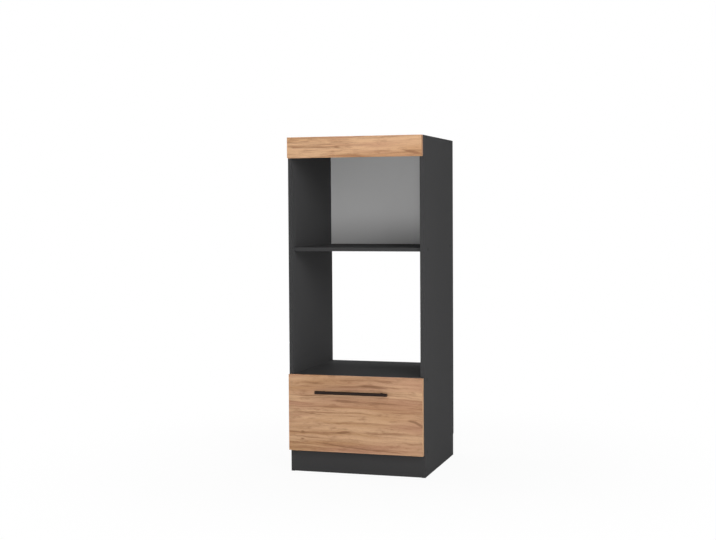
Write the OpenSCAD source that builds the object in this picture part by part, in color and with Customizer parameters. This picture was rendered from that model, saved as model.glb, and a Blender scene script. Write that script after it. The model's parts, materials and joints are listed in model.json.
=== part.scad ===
// Tall kitchen cabinet with a microwave niche, an oven niche that is open at the back,
// and one drawer on roller runners. Millimetres, +Z up, front towards -Y, floor at z = 0.
// The origin is the middle of the footprint, taken from the handle bar to the rear edges.

/* [Cabinet] */
// Width over both side panels
cabinet_w = 600; // [560:1:700]
// Depth of the side panels, front edge to rear edge
cabinet_d = 560; // [540:1:640]
// Height from the floor to the top
cabinet_h = 1446; // [1400:1:1700]
// Thickness of the carcass boards
board_t = 16; // [15:0.5:19]
// Height of the plinth, where the drawer front and the bottom panel start
plinth_h = 97; // [85:1:130]
// Distance of the plinth board behind the front edges
plinth_recess = 15; // [5:1:40]
// Gap between the plinth board and the floor
plinth_clearance = 1; // [0.5:0.5:4]
// Depth of the skirting notch at the foot of the rear edges
skirting_notch = 8; // [4:1:16]

/* [Niches] */
// Clear height of the drawer compartment
drawer_niche_h = 293; // [270:1:340]
// Clear height of the oven niche
oven_niche_h = 535; // [480:1:560]
// Distance of the microwave shelf behind the front edges
shelf_setback = 24; // [5:1:50]
// Thickness of the back panels
back_t = 3; // [2.5:0.5:4]
// Distance of the back panels from the rear edges
back_inset = 7; // [5:0.5:14]
// Depth of the grooves that hold the back panels
groove_depth = 8; // [5:0.5:9]
// Slack of a thin panel in its groove
groove_slack = 0.3; // [0.2:0.1:0.6]
// How far the back panels stay inside the boards whose edges they cover
back_trim = 1; // [0.5:0.5:3]

/* [Fronts] */
// Thickness of the fascia and of the drawer front
front_t = 16; // [15:0.5:19]
// How far the fronts stay inside the outer faces of the side panels
front_reveal = 1.5; // [1:0.5:3]
// Height of the fascia
fascia_h = 89; // [70:1:110]
// Height of the drawer front above the floor of the oven niche
drawer_front_rise = 4; // [1:0.5:8]
// Gap between the closed drawer front and the front edges
front_gap = 1.5; // [1:0.5:3]

/* [Handle] */
// Diameter of the handle bar
handle_bar_d = 14; // [12:0.5:16]
// Length of the handle bar
handle_len = 320; // [290:1:400]
// Distance between the handle posts
handle_spacing = 256; // [192:1:280]
// Distance from the drawer front to the far side of the bar
handle_reach = 35; // [30:1:45]
// Diameter of the handle posts
handle_post_d = 9; // [8:0.5:10]
// Distance of the handle below the top edge of the drawer front
handle_drop = 71; // [50:1:90]
// Sideways place of the handle, negative to the left
handle_shift = -10; // [-60:1:60]
// Chamfer on the ends of the bar
handle_chamfer = 1; // [0.4:0.1:2]

/* [Drawer] */
// Gap between the closed drawer and the lower back panel
drawer_rear_gap = 51.5; // [25:0.5:80]
// Pull-out of the drawer
drawer_travel = 375; // [300:1:390]
// Thickness of the drawer box boards
drawer_board_t = 12; // [12:0.5:15]
// Gap between the drawer box and the floor of the oven niche above it
drawer_headroom = 66; // [40:1:90]
// Thickness of the drawer bottom
drawer_bottom_t = 3; // [2.5:0.5:4]
// Height of the drawer bottom above the lower edges of the drawer sides
drawer_bottom_rise = 12; // [10:0.5:16]
// Depth of the grooves that hold the drawer bottom
drawer_groove_depth = 6; // [4:0.5:7]

/* [Runners] */
// Gap between a drawer side and a side panel, which the runners fill
runner_gap = 12.5; // [12.3:0.1:14]
// Distance of the cabinet runners behind the front edges
runner_setback = 2; // [1:0.5:6]
// How far the cabinet runners reach behind the closed drawer
runner_overhang = 3.5; // [0:0.5:10]
// Height of the roller track above the bottom panel
track_rise = 25; // [15:1:35]
// Sheet thickness of the runners
rail_t = 1.2; // [1:0.1:1.4]
// Height of the drawer sides above the roller track
drawer_side_rise = 2; // [1.5:0.1:3]
// Diameter of the rollers
roller_d = 19; // [18:0.5:22]
// Width of the rollers
roller_w = 6; // [5:0.1:6.4]
// Distance of the rollers from the side panel
roller_offset = 3.5; // [3.2:0.1:3.6]
// Spare height of the channel that a rear roller runs in
channel_slack = 1; // [0.7:0.1:1.5]
// Gap between a roller and the track under or over it
roll_gap = 0.3; // [0.2:0.05:0.35]
// Rounding of the roller edges
roller_edge = 0.5; // [0.3:0.1:1]
// Gap between the channel flanges and the drawer runner
flange_gap = 1.3; // [1:0.1:1.6]
// Height of the front roller above the channel
front_roller_rise = 1.3; // [1:0.1:2]
// Distance of a front roller from the front end of its runner
front_roller_inset = 14; // [12:0.5:20]
// Distance of a rear roller from the rear end of the drawer
rear_roller_inset = 12; // [11.5:0.5:16]
// Depth of the stop lugs that hang in the channel
stop_lug_h = 5; // [3:0.5:7]
// Diameter of the roller pins
pin_d = 4; // [3.5:0.1:5]
// Distance of the first and last screw from the ends of the cabinet runners
rail_screw_inset = 42; // [36:1:60]
// Distance of the first and last screw from the ends of the drawer runners
drawer_rail_screw_inset = 55; // [40:1:80]
// Radial running clearance of a roller on its pin
pin_play = 0.05; // [0.03:0.01:0.1]
// Diameter of the heads and shoulders of the roller pins
pin_head_d = 8; // [7:0.1:9]
// Height of the heads of the roller pins
pin_head_h = 1; // [0.8:0.1:1.4]

/* [Fasteners] */
// Head diameter of the joint screws
joint_head_d = 10; // [9:0.5:11]
// Head height of the joint screws
joint_head_h = 4; // [3:0.5:6]
// Neck diameter of the joint screws
joint_neck_d = 7; // [6.5:0.1:8]
// Core diameter of the joint screws
joint_core_d = 5; // [4.5:0.1:6]
// Length of the joint screws
joint_len = 50; // [45:1:60]
// Width across corners of the hexagon socket in a joint screw
joint_socket_d = 4.6; // [4:0.1:5]
// Distance of the joint screws from the front and rear ends of a board
joint_inset = 52; // [40:1:70]
// Diameter of the wooden dowels
dowel_d = 8; // [7.5:0.5:8.5]
// Length of the wooden dowels
dowel_len = 35; // [30:1:40]
// Chamfer on the ends of the dowels
dowel_chamfer = 1; // [0.5:0.1:1.5]
// How far a dowel enters a side panel
dowel_bite = 12; // [9:0.5:13]
// Distance of the dowels from the front and rear ends of a board
dowel_inset = 92; // [84:1:120]
// Radial clearance of screws and dowels in their holes
hole_play = 0.05; // [0.03:0.01:0.1]
// Diameter of the screw caps
cap_d = 13; // [12:0.5:15]
// Thickness of the screw caps
cap_t = 0.4; // [0.3:0.1:0.8]
// Height of the plinth board's joint screw above the floor
plinth_screw_z = 34; // [24:1:42]
// Height of the plinth board's dowel above the floor
plinth_dowel_z = 66; // [56:1:74]
// Shank diameter of the small wood screws
screw_d = 3.5; // [3:0.1:4]
// Head diameter of the small wood screws
screw_head_d = 7; // [6.5:0.1:8]
// Head height of the pan-head screws that hold the brackets
pan_head_h = 2; // [1.5:0.1:2.5]
// Head height of the flat pan-head screws that hold the runners
low_head_h = 1.1; // [0.9:0.1:1.2]
// Length of the bracket screws
bracket_screw_len = 14; // [10:0.5:15]
// Length of the runner screws in the side panels
runner_screw_len = 14; // [10:0.5:15]
// Length of the runner screws in the drawer sides
drawer_runner_screw_len = 10; // [8:0.5:11]
// Length of the screws at the corners of the drawer box
corner_screw_len = 40; // [30:1:50]
// Distance of the corner screws from the top and bottom edges of the drawer box
corner_screw_inset = 40; // [30:1:55]
// Length of the screws that hold the drawer front
front_screw_len = 24; // [20:0.5:26]
// Sideways place of the screws that hold the drawer front
front_screw_x = 205; // [170:1:225]
// Nail diameter
nail_d = 1.4; // [1.2:0.1:2]
// Nail length
nail_len = 20; // [16:1:30]
// Nail head diameter
nail_head_d = 4; // [3:0.1:5]
// Nail head height
nail_head_h = 0.8; // [0.5:0.1:1]
// Number of nails along each nailed edge
nail_count = 5; // [3:1:8]
// Distance of the first and last nail from the side panels
nail_inset = 30; // [20:1:60]
// Width of the cross recess in the screw heads
recess_w = 0.8; // [0.6:0.1:1]
// Diameter of the handle screws
handle_screw_d = 4; // [3.5:0.1:5]
// Head diameter of the handle screws
handle_screw_head_d = 8; // [7:0.5:9]
// Head height of the handle screws
handle_screw_head_h = 2.6; // [2:0.1:3]
// How far a handle screw enters its post
handle_screw_bite = 9; // [6:0.5:12]

/* [Brackets] */
// Sheet thickness of the angle brackets
bracket_t = 2; // [1.5:0.1:2.5]
// Leg length of the fascia brackets
fascia_bracket_leg = 25; // [22:1:32]
// Distance of the holes from the corner of a fascia bracket
fascia_bracket_hole_at = 15; // [13:0.5:18]
// Width of the fascia brackets
fascia_bracket_w = 16; // [14:1:24]
// Sideways place of the fascia brackets under the top panel
fascia_bracket_x = 140; // [60:1:170]
// Leg length of the wall brackets
wall_bracket_leg = 32; // [28:1:40]
// Distance of the holes from the corner of a wall bracket
wall_bracket_hole_at = 19; // [16:0.5:23]
// Width of the wall brackets
wall_bracket_w = 24; // [20:1:32]
// Sideways place of the wall brackets
wall_bracket_x = 200; // [80:1:240]
// Hole for a wall screw in a wall bracket
wall_hole_d = 6; // [5:0.5:8]
// Hole for a wall screw in the back panel
back_hole_d = 10; // [9:0.5:14]

/* [Hidden] */
$fn = 48;
over = 1; // how far a cutting shape passes the face it cuts

// Colours
anthracite = "#434547";
oak = "#b98d62";
back_grey = "#b4b5b6";
zinc = "silver";
rail_white = "#e8e8e6";
nylon = "#f2f2ee";
handle_black = "#1b1b1c";
dowel_beech = "#d9b98a";

// Carcass
half_w = cabinet_w / 2;
inner_x = half_w - board_t;
front_reach = front_gap + front_t + handle_reach;
front_y = (front_reach - cabinet_d) / 2;
rear_y = front_y + cabinet_d;
back_rear_y = rear_y - back_inset;
back_front_y = back_rear_y - back_t;
bottom_top_z = plinth_h + board_t;
oven_shelf_z = bottom_top_z + drawer_niche_h;
oven_floor_z = oven_shelf_z + board_t;
shelf_z = oven_floor_z + oven_niche_h;
top_z = cabinet_h - board_t;
plinth_y = front_y + plinth_recess;
plinth_mid_y = plinth_y + board_t / 2;

// Boards between the side panels: front edge, rear edge, underside
top_row = [front_y, back_front_y, top_z];
shelf_row = [front_y + shelf_setback, back_front_y, shelf_z];
oven_row = [front_y, rear_y, oven_shelf_z];
bottom_row = [front_y, back_front_y, plinth_h];
board_rows = [top_row, shelf_row, oven_row, bottom_row];

// Nails along the rear edges that the back panels cover
nail_span = 2 * (inner_x - nail_inset);
nail_xs = [for (i = [0:nail_count - 1]) -nail_span / 2 + i * nail_span / (nail_count - 1)];

// Fronts
front_w = cabinet_w - 2 * front_reveal;
drawer_y = front_y - front_gap;
drawer_face_y = drawer_y - front_t;
drawer_front_top = oven_floor_z + drawer_front_rise;
drawer_front_h = drawer_front_top - plinth_h;

// Roller tracks and rollers
rail_y = front_y + runner_setback;
track_z = bottom_top_z + track_rise;
channel_h = roller_d + channel_slack;
flange_w = runner_gap - rail_t - flange_gap;
drawer_rear_y = back_front_y - drawer_rear_gap;
drawer_len = drawer_rear_y - drawer_y;
rail_rear_y = drawer_rear_y + runner_overhang;
runner_len = rail_rear_y - rail_y;
front_roller_y = rail_y + front_roller_inset;
front_roller_top = channel_h + rail_t + front_roller_rise;
front_roller_z = track_z + front_roller_top - roller_d / 2;
rear_roller_y = drawer_rear_y - rear_roller_inset;
rear_roller_z = track_z + roll_gap + roller_d / 2;
tread_z = front_roller_top + roll_gap;
roller_end = roller_offset + roller_w;
open_flange_y = front_roller_y + roller_d / 2 + 2 * over;

// Where a roller touches a stop lug, from the roller's axis
lug_below_top = channel_h - stop_lug_h - (rear_roller_z - track_z);
lug_contact = sqrt(pow(roller_d / 2, 2) - pow(lug_below_top, 2));

// Drawer box
box_x = inner_x - runner_gap;
box_inner_x = box_x - drawer_board_t;
box_z = track_z + drawer_side_rise;
box_top_z = oven_shelf_z - drawer_headroom;
box_h = box_top_z - box_z;
inner_front_y = drawer_y + drawer_board_t;
drawer_back_y = drawer_rear_y - drawer_board_t;
drawer_floor_z = box_z + drawer_bottom_rise;
corner_zs = [box_z + corner_screw_inset, box_top_z - corner_screw_inset];

// Handle
handle_z = drawer_front_top - handle_drop;
bar_y = drawer_face_y - handle_reach + handle_bar_d / 2;
post_len = handle_reach - handle_bar_d / 2;
post_xs = [handle_shift - handle_spacing / 2, handle_shift + handle_spacing / 2];

// Screws in the runners, counted from the front end of each runner
rail_screw_ys = [rail_screw_inset, runner_len / 2, runner_len - rail_screw_inset];
rail_screw_z = track_z + channel_h / 2;
drawer_rail_screw_ys = [
    drawer_rail_screw_inset, drawer_len / 2, drawer_len - drawer_rail_screw_inset];
drawer_rail_screw_z = box_z + drawer_bottom_rise / 2;

// ---- Placing ----

module both_sides() {
    children();
    mirror([1, 0, 0]) children();
}

module left() {
    mirror([1, 0, 0]) children();
}

// Children start at the right outer face and point inwards
module at_outer_face(y, z) {
    translate([half_w, y, z]) rotate([0, -90, 0]) children();
}

// Children start at the right inner face and point outwards
module at_inner_face(inset, y, z) {
    translate([inner_x - inset, y, z]) rotate([0, 90, 0]) children();
}

module along_board(row, inset) {
    for (y = [row[0] + inset, row[1] - inset])
        at_outer_face(y, row[2] + board_t / 2) children();
}

module joint_screw_places() {
    for (row = board_rows) along_board(row, joint_inset) children();
    at_outer_face(plinth_mid_y, plinth_screw_z) children();
}

module dowel_places() {
    for (row = board_rows) along_board(row, dowel_inset) children();
    at_outer_face(plinth_mid_y, plinth_dowel_z) children();
}

// Children start at the rear face of the back panels and point forwards
module nail_places(z) {
    for (x = nail_xs) translate([x, back_rear_y, z + board_t / 2]) rotate([90, 0, 0]) children();
}

// Children stand in the corner of a bracket: one leg along +Y, one leg down
module fascia_bracket_places() {
    for (x = [-fascia_bracket_x, fascia_bracket_x]) translate([x, front_y, top_z]) children();
    for (side = [-1, 1])
        translate([side * inner_x, front_y, cabinet_h - fascia_h / 2])
            rotate([0, side * 90, 0]) children();
}

module wall_bracket_places() {
    for (x = [-wall_bracket_x, wall_bracket_x])
        translate([x, back_front_y, top_z]) rotate([0, 0, 180]) children();
}

module cabinet_rail_screw_places() {
    for (y = rail_screw_ys) at_inner_face(rail_t, rail_y + y, rail_screw_z) children();
}

// Children start at the outer face of the right drawer runner and point inwards
module drawer_rail_screw_places() {
    for (y = drawer_rail_screw_ys)
        translate([box_x + rail_t, drawer_y + y, drawer_rail_screw_z])
            rotate([0, -90, 0]) children();
}

// Children start at the outer face of the right drawer side and point inwards
module corner_screw_places(y) {
    for (z = corner_zs) translate([box_x, y, z]) rotate([0, -90, 0]) children();
}

// Children start at the rear face of the inner front and point forwards
module front_screw_places() {
    for (x = [-front_screw_x, front_screw_x], z = corner_zs)
        translate([x, inner_front_y, z]) rotate([90, 0, 0]) children();
}

// Children start under the drawer bottom and point upwards
module bottom_screw_places() {
    for (x = [-front_screw_x, 0, front_screw_x])
        translate([x, drawer_back_y + drawer_board_t / 2, drawer_floor_z]) children();
}

// Children start at the rear face of the drawer front and point forwards
module handle_screw_places() {
    for (x = post_xs) translate([x, drawer_y, handle_z]) rotate([90, 0, 0]) children();
}

// ---- Fasteners, each along +Z from the surface it is set in ----

module joint_screw_form(play) {
    translate([0, 0, cap_t / 2 - play]) cylinder(h = joint_head_h + play, d = joint_head_d + 2 * play);
    translate([0, 0, over]) cylinder(h = board_t - 2 * over, d = joint_neck_d + 2 * play);
    translate([0, 0, over]) cylinder(h = joint_len - over + play, d = joint_core_d + 2 * play);
}

module joint_screw() {
    difference() {
        joint_screw_form(0);
        cylinder(h = joint_head_h, d = joint_socket_d, $fn = 6);
    }
}

module joint_screw_hole() {
    joint_screw_form(hole_play);
    translate([0, 0, -over]) cylinder(h = 2 * over, d = joint_head_d + 2 * hole_play);
}

// A round rod with chamfered ends
module rod(len, d, chamfer) {
    rotate_extrude()
        polygon([
            [0, 0],
            [d / 2 - chamfer, 0],
            [d / 2, chamfer],
            [d / 2, len - chamfer],
            [d / 2 - chamfer, len],
            [0, len]]);
}

module dowel() {
    translate([0, 0, board_t - dowel_bite]) rod(dowel_len, dowel_d, dowel_chamfer);
}

module dowel_hole() {
    translate([0, 0, board_t - dowel_bite - groove_slack])
        cylinder(h = dowel_len + 2 * groove_slack, d = dowel_d + 2 * hole_play);
}

module cross_recess(len, depth) {
    for (a = [0, 90])
        rotate([0, 0, a]) translate([-len / 2, -recess_w / 2, -over])
            cube([len, recess_w, over + depth]);
}

module shank(len, d) {
    cylinder(h = len - d, d = d);
    translate([0, 0, len - d]) cylinder(h = d, d1 = d, d2 = d / 4);
}

module pan_screw(len, d, head_d, head_h) {
    difference() {
        union() {
            translate([0, 0, -head_h]) cylinder(h = head_h, d = head_d);
            shank(len, d);
        }
        translate([0, 0, -head_h]) cross_recess(head_d / 2, head_h / 2);
    }
}

module flat_screw(len, d, head_d) {
    difference() {
        union() {
            cylinder(h = (head_d - d) / 2, d1 = head_d, d2 = d);
            shank(len, d);
        }
        cross_recess(head_d / 2, (head_d - d) / 4);
    }
}

module flat_screw_hole(len, d, head_d) {
    grown = d + 2 * hole_play;
    translate([0, 0, -hole_play])
        cylinder(h = (head_d - d) / 2 + 2 * hole_play, d1 = head_d + 4 * hole_play, d2 = d);
    translate([0, 0, -over]) cylinder(h = over, d = head_d + 2 * hole_play);
    translate([0, 0, -over]) cylinder(h = over + len + hole_play, d = grown);
}

module pilot(len, d) {
    translate([0, 0, -over]) cylinder(h = over + len + hole_play, d = d + 2 * hole_play);
}

module nail() {
    translate([0, 0, -nail_head_h]) cylinder(h = nail_head_h, d = nail_head_d, $fn = 24);
    cylinder(h = nail_len, d = nail_d, $fn = 24);
}

module nail_hole() {
    translate([0, 0, -over]) cylinder(h = over + nail_len + hole_play, d = nail_d + 2 * hole_play, $fn = 24);
}

// ---- Carcass boards ----

module side_panel() {
    difference() {
        translate([inner_x, front_y, 0]) cube([board_t, cabinet_d, cabinet_h]);
        translate([inner_x - over, front_y - over, -over])
            cube([board_t + 2 * over, plinth_recess + over, plinth_h + over]);
        translate([inner_x - over, rear_y - skirting_notch, -over])
            cube([board_t + 2 * over, skirting_notch + over, plinth_h + over]);
        translate([inner_x - over, back_front_y - groove_slack / 2, -over])
            cube([groove_depth + over, back_t + groove_slack, cabinet_h + 2 * over]);
        joint_screw_places() joint_screw_hole();
        dowel_places() dowel_hole();
        cabinet_rail_screw_places() pilot(runner_screw_len, screw_d);
        fascia_bracket_places() bracket_leg_screw(fascia_bracket_hole_at) pilot(bracket_screw_len, screw_d);
    }
}

module horizontal_board(row) {
    difference() {
        translate([-inner_x, row[0], row[2]]) cube([2 * inner_x, row[1] - row[0], board_t]);
        both_sides() {
            along_board(row, joint_inset) joint_screw_hole();
            along_board(row, dowel_inset) dowel_hole();
        }
    }
}

module left_side_panel() {
    color(anthracite) left() side_panel();
}

module right_side_panel() {
    color(anthracite) side_panel();
}

module top_panel() {
    color(anthracite) difference() {
        horizontal_board(top_row);
        nail_places(top_z) nail_hole();
        fascia_bracket_places() bracket_leg_screw(fascia_bracket_hole_at) pilot(bracket_screw_len, screw_d);
        wall_bracket_places() bracket_leg_screw(wall_bracket_hole_at) pilot(bracket_screw_len, screw_d);
    }
}

module microwave_shelf() {
    color(anthracite) difference() {
        horizontal_board(shelf_row);
        nail_places(shelf_z) nail_hole();
    }
}

module oven_shelf() {
    color(anthracite) difference() {
        horizontal_board(oven_row);
        translate([-inner_x - over, back_front_y - groove_slack / 2, oven_shelf_z - over])
            cube([2 * (inner_x + over), back_t + groove_slack, groove_depth + over]);
    }
}

module bottom_panel() {
    color(anthracite) difference() {
        horizontal_board(bottom_row);
        nail_places(plinth_h) nail_hole();
    }
}

module plinth_board() {
    color(anthracite) difference() {
        translate([-inner_x, plinth_y, plinth_clearance])
            cube([2 * inner_x, board_t, plinth_h - plinth_clearance]);
        both_sides() {
            at_outer_face(plinth_mid_y, plinth_screw_z) joint_screw_hole();
            at_outer_face(plinth_mid_y, plinth_dowel_z) dowel_hole();
        }
    }
}

module fascia() {
    color(oak) difference() {
        translate([-front_w / 2, front_y - front_t, cabinet_h - fascia_h])
            cube([front_w, front_t, fascia_h]);
        fascia_bracket_places() bracket_front_screw(fascia_bracket_hole_at) pilot(bracket_screw_len, screw_d);
    }
}

module back_panel(z, top) {
    reach = inner_x + groove_depth - groove_slack;
    translate([-reach, back_front_y, z]) cube([2 * reach, back_t, top - z]);
}

module upper_back_panel() {
    color(back_grey) difference() {
        back_panel(shelf_z + back_trim, cabinet_h - back_trim);
        nail_places(top_z) nail_hole();
        nail_places(shelf_z) nail_hole();
        wall_bracket_places() bracket_front_screw(wall_bracket_hole_at)
            translate([0, 0, -over]) cylinder(h = back_t + bracket_t + 2 * over, d = back_hole_d);
    }
}

module lower_back_panel() {
    color(back_grey) difference() {
        back_panel(plinth_h + back_trim, oven_shelf_z + groove_depth - groove_slack);
        nail_places(plinth_h) nail_hole();
    }
}

module back_nails() {
    color(zinc) {
        nail_places(top_z) nail();
        nail_places(shelf_z) nail();
        nail_places(plinth_h) nail();
    }
}

module joint_screws() {
    color(zinc) both_sides() joint_screw_places() joint_screw();
}

module screw_caps() {
    color(anthracite) both_sides() joint_screw_places()
        translate([0, 0, -cap_t]) cylinder(h = cap_t, d = cap_d);
}

module dowels() {
    color(dowel_beech) both_sides() dowel_places() dowel();
}

// ---- Angle brackets ----

// Children start on the leg that lies along +Y and point up
module bracket_leg_screw(hole_at) {
    translate([0, hole_at, -bracket_t]) children();
}

// Children start on the leg that hangs down and point to -Y
module bracket_front_screw(hole_at) {
    translate([0, bracket_t, -hole_at]) rotate([90, 0, 0]) children();
}

module angle_bracket(leg, width, hole_at, hole_d) {
    difference() {
        union() {
            translate([-width / 2, 0, -bracket_t]) cube([width, leg, bracket_t]);
            translate([-width / 2, 0, -leg]) cube([width, bracket_t, leg]);
        }
        bracket_leg_screw(hole_at) pilot(bracket_t + over, screw_d);
        bracket_front_screw(hole_at) translate([0, 0, -over]) cylinder(h = bracket_t + 2 * over, d = hole_d);
    }
}

module fascia_brackets() {
    color(zinc) fascia_bracket_places()
        angle_bracket(fascia_bracket_leg, fascia_bracket_w, fascia_bracket_hole_at, screw_d + 2 * hole_play);
}

module fascia_bracket_screws() {
    color(zinc) fascia_bracket_places() {
        bracket_leg_screw(fascia_bracket_hole_at) bracket_screw();
        bracket_front_screw(fascia_bracket_hole_at) bracket_screw();
    }
}

module bracket_screw() {
    pan_screw(bracket_screw_len, screw_d, screw_head_d, pan_head_h);
}

module wall_brackets() {
    color(zinc) wall_bracket_places()
        angle_bracket(wall_bracket_leg, wall_bracket_w, wall_bracket_hole_at, wall_hole_d);
}

module wall_bracket_screws() {
    color(zinc) wall_bracket_places() bracket_leg_screw(wall_bracket_hole_at) bracket_screw();
}

// ---- Cabinet runners, in place on the right ----

module rail_box(u, y, v, size) {
    translate([inner_x - u - size[0], y, track_z + v]) cube(size);
}

module cabinet_runner() {
    stop_y = rear_roller_y - drawer_travel - lug_contact - roll_gap;
    rear_stop_y = rear_roller_y + lug_contact + roll_gap;
    difference() {
        union() {
            rail_box(0, rail_y, -rail_t, [rail_t, runner_len, channel_h + 2 * rail_t]);
            rail_box(0, rail_y, -rail_t, [flange_w, runner_len, rail_t]);
            rail_box(0, open_flange_y, channel_h, [flange_w, rail_rear_y - open_flange_y, rail_t]);
            for (y = [stop_y - rail_t, rear_stop_y])
                rail_box(0, y, channel_h - stop_lug_h, [flange_w, rail_t, stop_lug_h + rail_t / 2]);
        }
        cabinet_rail_screw_places() pilot(rail_t + over, screw_d);
        translate([inner_x, front_roller_y, front_roller_z]) rotate([0, -90, 0]) pilot(rail_t + over, pin_d);
    }
}

module left_cabinet_runner() {
    color(rail_white) left() cabinet_runner();
}

module right_cabinet_runner() {
    color(rail_white) cabinet_runner();
}

module cabinet_runner_screws() {
    color(zinc) both_sides() cabinet_rail_screw_places()
        pan_screw(runner_screw_len, screw_d, screw_head_d, low_head_h);
}

// ---- Rollers and their pins, along the axis from the sheet that carries the pin ----

// Starts at the sheet, with the roller's near face at `near`
module roller(near) {
    translate([0, 0, near]) rotate_extrude()
        polygon([
            [pin_d / 2 + pin_play, 0],
            [roller_d / 2 - roller_edge, 0],
            [roller_d / 2, roller_edge],
            [roller_d / 2, roller_w - roller_edge],
            [roller_d / 2 - roller_edge, roller_w],
            [pin_head_d / 2 + 2 * pin_play, roller_w],
            [pin_head_d / 2 + 2 * pin_play, roller_w - pin_head_h - roll_gap],
            [pin_d / 2 + pin_play, roller_w - pin_head_h - roll_gap]]);
}

module roller_pin(near) {
    head = near + roller_w - pin_head_h;
    translate([0, 0, -rail_t + over / 10]) cylinder(h = head + rail_t - over / 10, d = pin_d);
    cylinder(h = near - roll_gap / 2, d = pin_head_d);
    translate([0, 0, head]) cylinder(h = pin_head_h, d = pin_head_d);
}

// Children start at the cabinet runner's web and point inwards
module front_roller_place() {
    translate([inner_x - rail_t, front_roller_y, front_roller_z]) rotate([0, -90, 0]) children();
}

// Children start at the drawer runner's web and point outwards
module rear_roller_place() {
    translate([box_x + rail_t, rear_roller_y, rear_roller_z]) rotate([0, 90, 0]) children();
}

front_near = roller_offset - rail_t;
rear_near = runner_gap - rail_t - roller_end;

module left_front_roller() {
    color(nylon) left() front_roller_place() roller(front_near);
}

module right_front_roller() {
    color(nylon) front_roller_place() roller(front_near);
}

module left_rear_roller() {
    color(nylon) left() rear_roller_place() roller(rear_near);
}

module right_rear_roller() {
    color(nylon) rear_roller_place() roller(rear_near);
}

module front_roller_pins() {
    color(zinc) both_sides() front_roller_place() roller_pin(front_near);
}

module rear_roller_pins() {
    color(zinc) both_sides() rear_roller_place() roller_pin(rear_near);
}

// ---- Drawer ----

module drawer_front() {
    color(oak) difference() {
        translate([-front_w / 2, drawer_face_y, plinth_h]) cube([front_w, front_t, drawer_front_h]);
        front_screw_places() pilot(front_screw_len, screw_d);
        handle_screw_places() pilot(front_t + over, handle_screw_d);
    }
}

module bottom_groove() {
    translate([-box_inner_x - drawer_groove_depth, drawer_y + drawer_board_t - drawer_groove_depth,
            drawer_floor_z])
        cube([2 * (box_inner_x + drawer_groove_depth), drawer_len, drawer_bottom_t + groove_slack]);
}

// The last cut gives the handle screws' heads room where the handle sits lower than this board's top
module drawer_inner_front() {
    color(anthracite) difference() {
        translate([-box_inner_x, drawer_y, box_z]) cube([2 * box_inner_x, drawer_board_t, box_h]);
        bottom_groove();
        front_screw_places() flat_screw_hole(front_screw_len, screw_d, screw_head_d);
        both_sides() corner_screw_places(drawer_y + drawer_board_t / 2)
            flat_screw_hole(corner_screw_len, screw_d, screw_head_d);
        handle_screw_places() translate([0, 0, -drawer_board_t - over])
            cylinder(h = drawer_board_t + 2 * over, d = handle_screw_head_d + 2 * over);
    }
}

module drawer_side() {
    difference() {
        translate([box_inner_x, drawer_y, box_z]) cube([drawer_board_t, drawer_len, box_h]);
        bottom_groove();
        for (y = [drawer_y + drawer_board_t / 2, drawer_back_y + drawer_board_t / 2])
            corner_screw_places(y) flat_screw_hole(corner_screw_len, screw_d, screw_head_d);
        drawer_rail_screw_places() pilot(drawer_runner_screw_len, screw_d);
    }
}

module drawer_left_side() {
    color(anthracite) left() drawer_side();
}

module drawer_right_side() {
    color(anthracite) drawer_side();
}

module drawer_back() {
    low = drawer_floor_z + drawer_bottom_t;
    color(anthracite) difference() {
        translate([-box_inner_x, drawer_back_y, low])
            cube([2 * box_inner_x, drawer_board_t, box_top_z - low]);
        both_sides() corner_screw_places(drawer_back_y + drawer_board_t / 2)
            flat_screw_hole(corner_screw_len, screw_d, screw_head_d);
        bottom_screw_places() pilot(drawer_bottom_t + drawer_board_t, screw_d);
    }
}

module drawer_bottom() {
    reach = box_inner_x + drawer_groove_depth - groove_slack;
    start = drawer_y + drawer_board_t - drawer_groove_depth + groove_slack;
    color(back_grey) difference() {
        translate([-reach, start, drawer_floor_z]) cube([2 * reach, drawer_rear_y - start, drawer_bottom_t]);
        bottom_screw_places() pilot(drawer_bottom_t + over, screw_d);
    }
}

module drawer_runner() {
    web_z = drawer_side_rise - rail_t;
    sheet = drawer_len - 2 * over;
    difference() {
        union() {
            rail_box(runner_gap - rail_t, drawer_y + over, web_z, [rail_t, sheet, tread_z + rail_t - web_z]);
            rail_box(runner_gap - rail_t, drawer_y + over, web_z, [drawer_board_t + rail_t, sheet, rail_t]);
            rail_box(roller_offset - roll_gap, drawer_y + over, tread_z,
                [runner_gap - roller_offset + roll_gap, sheet, rail_t]);
        }
        drawer_rail_screw_places() pilot(rail_t + over, screw_d);
        translate([box_x, rear_roller_y, rear_roller_z]) rotate([0, 90, 0]) pilot(rail_t + over, pin_d);
    }
}

module left_drawer_runner() {
    color(rail_white) left() drawer_runner();
}

module right_drawer_runner() {
    color(rail_white) drawer_runner();
}

module drawer_runner_screws() {
    color(zinc) both_sides() drawer_rail_screw_places()
        pan_screw(drawer_runner_screw_len, screw_d, screw_head_d - 1, low_head_h);
}

module drawer_box_screws() {
    color(zinc) both_sides()
        for (y = [drawer_y + drawer_board_t / 2, drawer_back_y + drawer_board_t / 2])
            corner_screw_places(y) flat_screw(corner_screw_len, screw_d, screw_head_d);
}

module drawer_front_screws() {
    color(zinc) front_screw_places() flat_screw(front_screw_len, screw_d, screw_head_d);
}

module drawer_bottom_screws() {
    color(zinc) bottom_screw_places()
        pan_screw(drawer_bottom_t + drawer_board_t, screw_d, screw_head_d, pan_head_h);
}

// ---- Handle ----

module along_bar() {
    translate([handle_shift - handle_len / 2, bar_y, handle_z]) rotate([0, 90, 0]) children();
}

module handle_bar() {
    color(handle_black) along_bar() rod(handle_len, handle_bar_d, handle_chamfer);
}

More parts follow.
